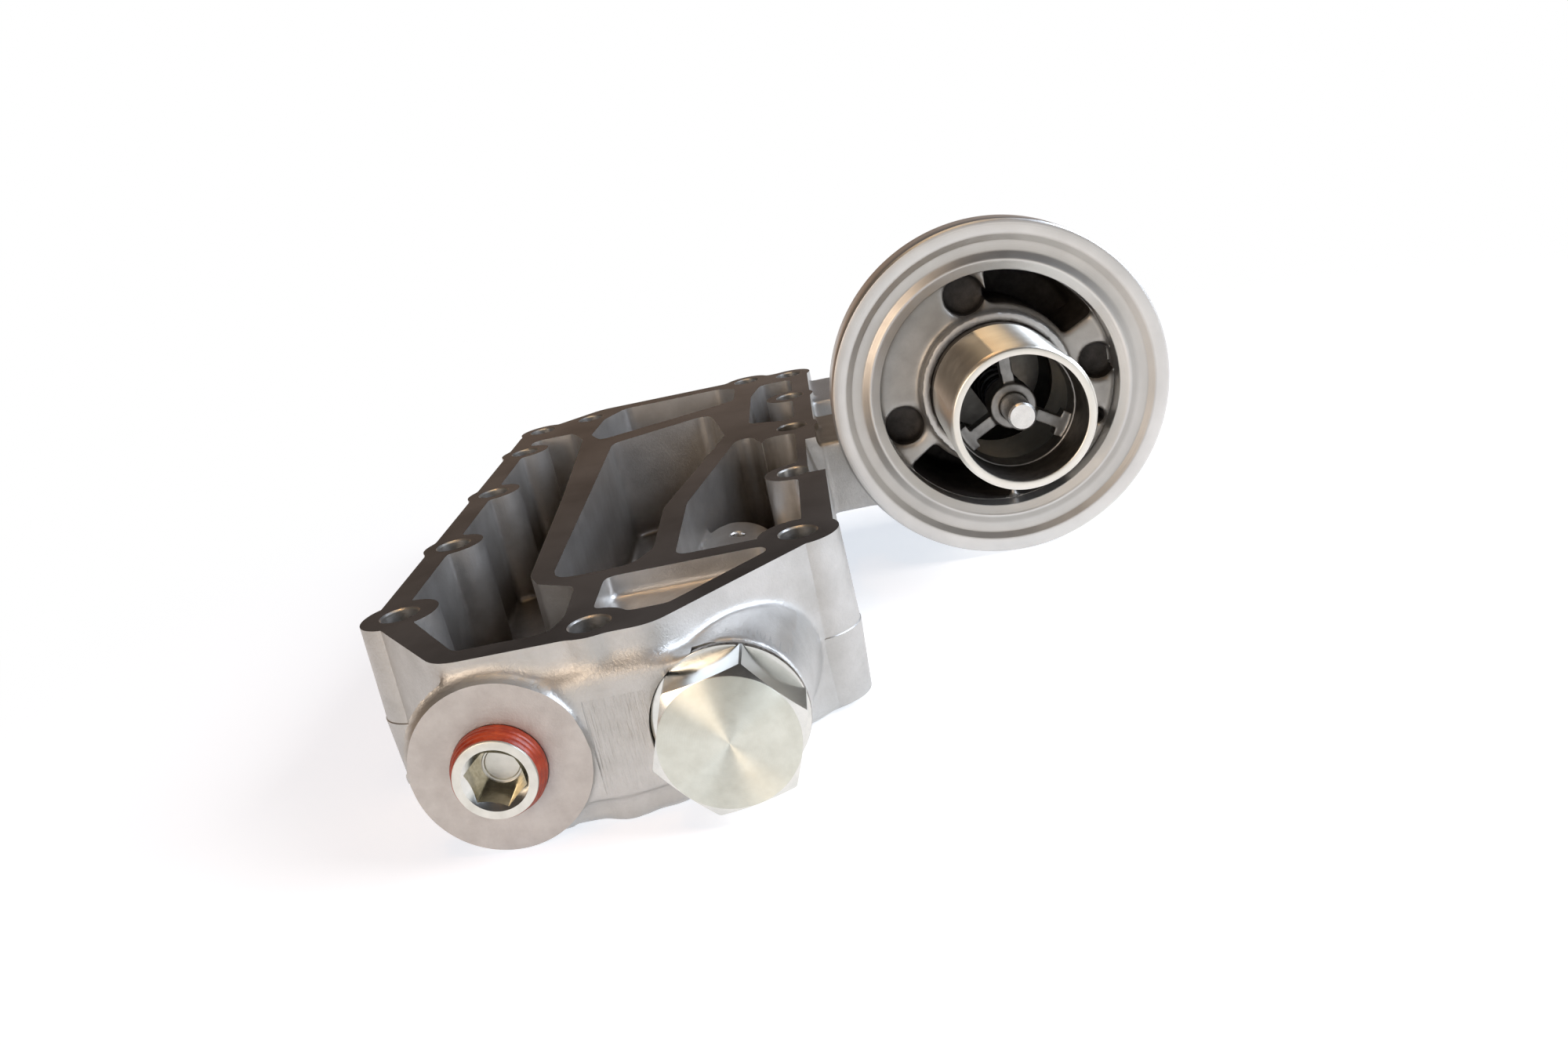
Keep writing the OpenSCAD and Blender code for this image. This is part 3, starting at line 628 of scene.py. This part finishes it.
def makeHexPlug():
    plug, axis, front = hexPlug, hexPlug["axis"], hexPlug["front"]
    corners = hexagon(plug["acrossFlats"], plug["turn"], axis, plug["ease"])
    foot = plug["collarFront"] + 0.4
    blank = prism(corners, axis.y + (front - 1) * mm, axis.y + foot * mm, "Y")
    piece = meshObject("hexPlug", blank, zincPlated)
    # the chamfer drops one mm for two across, and a pip is left at the centre
    face = plug["faceRadius"]
    cone = [(0, front + 0.1), (0.35, front + 0.02), (0.5, front), (face - 0.25, front), (face, front + 0.1),
            (face + 10, front + 5.1), (face + 10, foot + 1), (0, foot + 1)]
    combine(piece, meshObject("chamfer", turned(cone, axis, segments=192), latheFace), "INTERSECT")
    r, a, b = plug["collarRadius"], plug["collarFront"], plug["collarBack"]
    thread, end = plug["threadRadius"], plug["threadEnd"]
    spigot, tip = plug["spigotRadius"], plug["spigotEnd"]
    shank = [(0, a), (r - 0.4, a), (r - 0.1, a + 0.1), (r, a + 0.4), (r, b - 0.4), (r - 0.4, b),
             (thread - 1, b), (thread - 1, b + 1.6), (thread, b + 2.6),
             (thread, end - 1), (thread - 1, end),
             (spigot, end), (spigot, tip - 0.8), (spigot - 0.8, tip), (0, tip)]
    combine(piece, meshObject("shank", turned(shank, axis, segments=160), zincPlated), "UNION")
    piece.data.materials.append(zincRimDark)
    rimSlot = len(piece.data.materials) - 1
    # the collar's rim gets the plating painted darker
    for polygon in piece.data.polygons:
        spot = (polygon.center - axis) / mm
        reach = math.hypot(spot.x, spot.z)
        if reach > r - 0.2 and spot.y > a:
            polygon.material_index = rimSlot
        elif spot.y > front + 0.06:
            polygon.material_index = 0
    return shaded(piece, 25)


finished(makeHexPlug(), "turned_steel", "head", "regulator_plug")

socketPlug = {
    "axis": onFlange(socketPlace[0], -11.7, socketPlace[1]),       # centre of the plug's front
    "radius": 12, "ringRadius": 11, "length": 18, "acrossFlats": 14, "turn": -20, "depth": 9,
    "mouthRadius": 8.5, "drillRadius": 5.4,
    "sealantFrom": 0.7, "sealantTo": 6.6, "sealantRadius": 12.5, "ridges": 4, "taperLength": 3.6,
}


def makeSocketPlug():
    plug, axis = socketPlug, socketPlug["axis"]
    r, ring, length, deep = plug["radius"], plug["ringRadius"], plug["length"], plug["depth"]
    body = [(0, 0), (ring - 0.4, 0), (ring - 0.12, 0.1), (ring, 0.4), (ring + 0.05, 0.9), (r, 4.2),
            (r, length - 1), (r - 1, length), (0, length)]
    piece = meshObject("socketPlug", turned(body, axis), zincSatin)
    corners = hexagon(plug["acrossFlats"], plug["turn"], axis, 0.15)
    broach = prism(corners, axis.y - mm, axis.y + deep * mm, "Y")
    # the socket's walls get the zinc painted darker and yellower: painted shade and reflection
    combine(piece, meshObject("broach", broach, zincSocketShade))
    r = plug["mouthRadius"]
    mouth = [(0, -1), (r + 1, -1), (r + 0.2, -0.05), (r, 0.12), (r - 1.5, 1.7), (0, 1.7)]
    combine(piece, meshObject("countersink", turned(mouth, axis), zincPlated))
    r = plug["drillRadius"]
    drill = [(0, deep - 1), (r, deep - 1), (r, deep + 0.1), (r - 0.2, deep + 0.25), (r - 0.6, deep + 0.3),
             (r - 0.9, deep + 0.6), (0, deep + 0.9)]
    combine(piece, meshObject("drill", turned(drill, axis), zincSatin))
    return shaded(piece, 25)


def sealantRidges(radius, along, turn):
    # the paste bulges between the turns of the thread and thins out towards the front
    if radius < socketPlug["sealantRadius"] - 0.1:
        return radius, along
    a, b = socketPlug["sealantFrom"], socketPlug["sealantTo"]
    share = (along - a) / (b - a)
    ridge = abs(math.sin(math.pi * (socketPlug["ridges"] * share - turn / (2 * math.pi))))
    uneven = 0.06 * math.sin(3 * turn + 1) + 0.04 * math.sin(7 * turn) + 0.03 * math.sin(11 * turn + 2)
    taper = 1.25 * max(0, 1 - (along - a) / socketPlug["taperLength"])
    return radius - taper - 0.25 * (1 - ridge ** 0.6) + uneven * 0.3, along + uneven * (share < 0.1)


def makeSealant():
    a, b = socketPlug["sealantFrom"], socketPlug["sealantTo"]
    inner, outer, steps = socketPlug["radius"] - 0.1, socketPlug["sealantRadius"], 30
    profile = [(inner - 1.2, a)] + [(outer, a + (b - a) * i / steps) for i in range(steps + 1)]
    profile += [(inner, b), (inner, a + socketPlug["taperLength"])]
    paste = turned(profile, socketPlug["axis"], shape=sealantRidges)
    return shaded(meshObject("threadSealant", paste, sealantPaste), 60)


finished(makeSocketPlug(), "bright_plating", "head", "socket_plug")
finished(makeSealant(), "sealant", "head", "thread_sealant")


# springs: wire along a spiral whose end turns lie close together
def springTree():
    tree = bpy.data.node_groups.new("coilSpring", "GeometryNodeTree")
    sizes = {"Turns": 7.0, "Radius": 6.5 * mm, "Wire": 2 * mm, "Length": 47.5 * mm}
    for name, value in sizes.items():
        socket = tree.interface.new_socket(name, in_out="INPUT", socket_type="NodeSocketFloat")
        socket.default_value = value
    for name in ("Front", "Turn"):
        tree.interface.new_socket(name, in_out="INPUT", socket_type="NodeSocketVector")
    tree.interface.new_socket("Finish", in_out="INPUT", socket_type="NodeSocketMaterial")
    tree.interface.new_socket("Geometry", in_out="OUTPUT", socket_type="NodeSocketGeometry")
    given = addNode(tree, "NodeGroupInput").outputs

    closed = addNode(tree, "ShaderNodeMath", None, {0: given["Turns"], 1: given["Wire"]},
                     operation="MULTIPLY")
    centres = addNode(tree, "ShaderNodeMath", None, {0: given["Length"], 1: given["Wire"]},
                      operation="SUBTRACT")
    spare = addNode(tree, "ShaderNodeMath", None, {0: centres.outputs[0], 1: closed.outputs[0]},
                    operation="SUBTRACT")
    spiral = addNode(tree, "GeometryNodeCurveSpiral", {"Resolution": 32},
                     {"Rotations": given["Turns"], "Start Radius": given["Radius"],
                      "End Radius": given["Radius"], "Height": closed.outputs[0]})
    along = addNode(tree, "GeometryNodeSplineParameter").outputs["Factor"]
    firstTurn = addNode(tree, "ShaderNodeMath", {0: 1.0}, {1: given["Turns"]}, operation="DIVIDE")
    lastTurn = addNode(tree, "ShaderNodeMath", {0: 1.0}, {1: firstTurn.outputs[0]}, operation="SUBTRACT")
    lift = addNode(tree, "ShaderNodeMapRange", None,
                   {"Value": along, "From Min": firstTurn.outputs[0], "From Max": lastTurn.outputs[0],
                    "To Max": spare.outputs[0]})
    offset = addNode(tree, "ShaderNodeCombineXYZ", None, {"Z": lift.outputs["Result"]})
    opened = addNode(tree, "GeometryNodeSetPosition", None,
                     {"Geometry": spiral.outputs["Curve"], "Offset": offset.outputs["Vector"]})
    wireRadius = addNode(tree, "ShaderNodeMath", {1: 0.5}, {0: given["Wire"]}, operation="MULTIPLY")
    section = addNode(tree, "GeometryNodeCurvePrimitiveCircle", {"Resolution": 16},
                      {"Radius": wireRadius.outputs[0]})
    wire = addNode(tree, "GeometryNodeCurveToMesh", {"Fill Caps": True},
                   {"Curve": opened.outputs["Geometry"], "Profile Curve": section.outputs["Curve"]})
    moved = addNode(tree, "GeometryNodeTransform", None,
                    {"Geometry": wire.outputs["Mesh"], "Translation": given["Front"],
                     "Rotation": given["Turn"]})
    whole = addNode(tree, "GeometryNodeRealizeInstances", None, {"Geometry": moved.outputs["Geometry"]})
    coated = addNode(tree, "GeometryNodeSetMaterial", None, {"Geometry": whole.outputs["Geometry"],
                                                             "Material": given["Finish"]})
    smooth = addNode(tree, "GeometryNodeSetShadeSmooth", None, {"Geometry": coated.outputs["Geometry"]})
    addNode(tree, "NodeGroupOutput", None, {"Geometry": smooth.outputs["Geometry"]})
    return tree


springs = {
    "valve_spring": {
        "name": "bypassSpring", "joint": "bypass_slide", "travel": 8,
        "turns": 7, "radius": 6.5, "wire": 2, "axis": (0, 0), "front": -13.5, "back": 34,
    },
    "regulator_spring": {
        "name": "regulatorSpring", "joint": "regulator_slide", "travel": 10,
        "turns": 11, "radius": 7.25, "wire": 2.4, "axis": (-100.9, -36.5), "front": -125.7, "back": -38,
    },
}
coil = springTree()
for node, spring in springs.items():
    piece = meshObject(spring["name"], bmesh.new(), springWire)
    modifier = piece.modifiers.new("coil", "NODES")
    modifier.node_group = coil
    length = spring["back"] - spring["front"]
    across, up = spring["axis"]
    front = Vector((across, spring["front"] + spring["wire"] / 2, up)) * mm
    values = {"Turns": float(spring["turns"]), "Radius": spring["radius"] * mm, "Wire": spring["wire"] * mm,
              "Length": length * mm, "Front": front, "Turn": (-math.pi / 2, 0, 0), "Finish": springWire}
    for item in coil.interface.items_tree:
        if item.in_out == "INPUT":
            modifier[item.identifier] = values[item.name]
    applied(piece)
    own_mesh(piece)
    finished(piece, "spring_steel", "head", node)

# inner pieces whose CAD shape is right keep it
innerFinishes = {
    "valve_seat": pressedSteel, "valve_stem": groundSteel, "valve_disc": pressedSteel,
    "valve_washer": nitrile, "valve_nut": zincPlated,
    "plug_washer": pressedSteel, "regulator_plunger": groundSteel,
}
for node, material in innerFinishes.items():
    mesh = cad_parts[node].data
    mesh.materials.clear()
    mesh.materials.append(material)
print("inner pieces finished")

camera = {
    "place": Vector((-60.5, -441.0, 102.8)) * mm,
    "right": Vector((0.97905, -0.00781, -0.20346)),
    "down": Vector((-0.1966, -0.29616, -0.93469)),
    "forward": Vector((-0.05296, 0.95511, -0.29149)),
    "lens": 29.05, "sensor": 36,
    "near": 0.01, "far": 50,
}
eye = bpy.data.objects.new("camera", bpy.data.cameras.new("camera"))
bpy.context.scene.collection.objects.link(eye)
eye.data.sensor_width = camera["sensor"]
eye.data.lens = camera["lens"]
eye.data.clip_start = camera["near"]
eye.data.clip_end = camera["far"]
turn = Matrix((camera["right"], -camera["down"], -camera["forward"])).transposed()
eye.matrix_world = Matrix.Translation(camera["place"]) @ turn.to_4x4()
bpy.context.scene.camera = eye

studio = {
    "floorZ": -60.1 * mm, "floorSize": 6.0,
    "paper": "#f2f2f2",
    # camera and metal see both parts of the near floor, and a shadow leaves only its glow
    "glowPart": "#c9d1dc", "litPart": "#ded4c6",
    "fadeFrom": 0.2, "fadeTo": 0.5,            # metres from the seat over which the floor turns plain white
    # far floor and horizon, as metal sees them: warm on the left and white on the right
    "mirrorLeft": "#b0927a", "mirrorRight": "#ffffff",
    "floorFrom": -0.8, "floorTo": -0.2,        # metres across over which the far floor changes
    "towards": (0.7, -0.7, 0), "ringFrom": -0.8, "ringTo": 0.4,    # way over which the horizon changes
    "whiteTo": 0.03, "darkFrom": 0.32,         # height of the white horizon that metal sees, as a sine
    "darkWarm": "#4e453d", "darkCool": "#4b4d51",          # what metal sees above it, left and right
    "warmSide": "#d8b08c", "coolSide": "#dbe8ff",          # soft light on everything else, left and right
    "skyStrength": 0.18,
    "lamps": {
        "window": {"place": (1.2, -0.25, 0.8), "size": 1.0, "power": 25, "colour": "#e4efff"},
        "front": {"place": (-0.6, -0.95, 0.35), "size": 0.5, "power": 3.6, "colour": "#ffe6cc"},
        "ceiling": {"place": (-0.25, -0.45, 1.1), "size": 0.05, "power": 0.5, "colour": "#ffbe7a"},
        "panel": {"place": (-0.1, -0.2, 1.6), "size": 1.0, "power": 3.2, "colour": "#ffe0b4"},
    },
    "aim": (-0.1, 0, 0),
}

# floor: a white sheet that keeps the object's shadow and fades to plain white away from it
paper, tree, shader = newMaterial("paperSweep", studio["paper"], 0.0, 0.8)
path = addNode(tree, "ShaderNodeLightPath").outputs
either = addNode(tree, "ShaderNodeMath", None, {0: path["Is Camera Ray"], 1: path["Is Glossy Ray"]},
                 operation="MAXIMUM")
seen = addNode(tree, "ShaderNodeMath", None, {0: either.outputs[0], 1: path["Is Transmission Ray"]},
               operation="MAXIMUM")
lit = addNode(tree, "ShaderNodeBsdfDiffuse", {"Color": linear(studio["litPart"])})
glow = addNode(tree, "ShaderNodeEmission", {"Color": linear(studio["glowPart"])})
near = addNode(tree, "ShaderNodeAddShader", None, {0: lit.outputs[0], 1: glow.outputs[0]})
far = addNode(tree, "ShaderNodeEmission", {"Strength": 1.0})
place = addNode(tree, "ShaderNodeTexCoord").outputs["Object"]
across = addNode(tree, "ShaderNodeSeparateXYZ", None, {"Vector": place}).outputs["X"]
aside = addNode(tree, "ShaderNodeMapRange",
                {"From Min": studio["floorFrom"], "From Max": studio["floorTo"]}, {"Value": across})
warmth = addNode(tree, "ShaderNodeValToRGB", None, {"Fac": aside.outputs["Result"]})
warmth.color_ramp.elements[0].color = linear(studio["mirrorLeft"])
warmth.color_ramp.elements[1].color = linear(studio["mirrorRight"])
mirrored = addNode(tree, "ShaderNodeEmission", None, {"Color": warmth.outputs["Color"]})
away = addNode(tree, "ShaderNodeMixShader", None,
               {0: path["Is Camera Ray"], 1: mirrored.outputs[0], 2: far.outputs[0]})
distance = addNode(tree, "ShaderNodeVectorMath", None, {0: place}, operation="LENGTH")
fade = addNode(tree, "ShaderNodeMapRange", {"From Min": studio["fadeFrom"], "From Max": studio["fadeTo"]},
               {"Value": distance.outputs["Value"]}, interpolation_type="SMOOTHSTEP")
view = addNode(tree, "ShaderNodeMixShader", None,
               {0: fade.outputs["Result"], 1: near.outputs[0], 2: away.outputs[0]})
mixed = addNode(tree, "ShaderNodeMixShader", None,
                {0: seen.outputs[0], 1: shader.outputs[0], 2: view.outputs[0]})
tree.links.new(mixed.outputs[0], tree.nodes["Material Output"].inputs["Surface"])
bm = bmesh.new()
bmesh.ops.create_grid(bm, x_segments=1, y_segments=1, size=studio["floorSize"],
                      matrix=Matrix.Translation((0, 0, studio["floorZ"])))
floor = meshObject("floor", bm, paper)

# world: white to the camera, white low down and dim above to metal, soft light from warm left to cool right
world = bpy.data.worlds.new("studio")
bpy.context.scene.world = world
world.use_nodes = True
tree = world.node_tree
tree.nodes.clear()
ray = addNode(tree, "ShaderNodeTexCoord").outputs["Generated"]
aim = addNode(tree, "ShaderNodeSeparateXYZ", None, {"Vector": ray}).outputs
side = addNode(tree, "ShaderNodeMapRange", {"From Min": -1.0}, {"Value": aim["X"]})
skyTint = addNode(tree, "ShaderNodeValToRGB", None, {"Fac": side.outputs["Result"]})
skyTint.color_ramp.elements[0].color = linear(studio["warmSide"])
skyTint.color_ramp.elements[1].color = linear(studio["coolSide"])
dimTint = addNode(tree, "ShaderNodeValToRGB", None, {"Fac": side.outputs["Result"]})
dimTint.color_ramp.elements[0].color = linear(studio["darkWarm"])
dimTint.color_ramp.elements[1].color = linear(studio["darkCool"])
sky = addNode(tree, "ShaderNodeBackground", {"Strength": studio["skyStrength"]},
              {"Color": skyTint.outputs["Color"]})
white = addNode(tree, "ShaderNodeBackground", {"Color": (1, 1, 1, 1), "Strength": 1.0})
facing = addNode(tree, "ShaderNodeVectorMath", {1: studio["towards"]}, {0: ray}, operation="DOT_PRODUCT")
bright = addNode(tree, "ShaderNodeMapRange",
                 {"From Min": studio["ringFrom"], "From Max": studio["ringTo"]},
                 {"Value": facing.outputs["Value"]})
ring = addNode(tree, "ShaderNodeValToRGB", None, {"Fac": bright.outputs["Result"]})
ring.color_ramp.elements[0].color = linear(studio["mirrorLeft"])
ring.color_ramp.elements[1].color = linear(studio["mirrorRight"])
horizon = addNode(tree, "ShaderNodeBackground", {"Strength": 1.0}, {"Color": ring.outputs["Color"]})
dim = addNode(tree, "ShaderNodeBackground", {"Strength": 1.0}, {"Color": dimTint.outputs["Color"]})
height = addNode(tree, "ShaderNodeMapRange",
                 {"From Min": studio["whiteTo"], "From Max": studio["darkFrom"]},
                 {"Value": aim["Z"]}, interpolation_type="SMOOTHSTEP")
room = addNode(tree, "ShaderNodeMixShader", None,
               {0: height.outputs["Result"], 1: horizon.outputs[0], 2: dim.outputs[0]})
path = addNode(tree, "ShaderNodeLightPath").outputs
shiny = addNode(tree, "ShaderNodeMath", None, {0: path["Is Glossy Ray"], 1: path["Is Transmission Ray"]},
                operation="MAXIMUM")
toMetal = addNode(tree, "ShaderNodeMixShader", None,
                  {0: shiny.outputs[0], 1: sky.outputs[0], 2: room.outputs[0]})
toAll = addNode(tree, "ShaderNodeMixShader", None,
                {0: path["Is Camera Ray"], 1: toMetal.outputs[0], 2: white.outputs[0]})
addNode(tree, "ShaderNodeOutputWorld", None, {"Surface": toAll.outputs[0]})

for name, lamp in studio["lamps"].items():
    data = bpy.data.lights.new(name, "AREA")
    data.energy = lamp["power"]
    data.size = lamp["size"]
    data.color = linear(lamp["colour"])[:3]
    lampObject = bpy.data.objects.new(name, data)
    bpy.context.scene.collection.objects.link(lampObject)
    direction = Vector(studio["aim"]) - Vector(lamp["place"])
    turn = direction.to_track_quat("-Z", "Y").to_matrix().to_4x4()
    lampObject.visible_camera = False
    lampObject.matrix_world = Matrix.Translation(lamp["place"]) @ turn
print("camera and light set")

bpy.context.scene.view_settings.view_transform = "Standard"
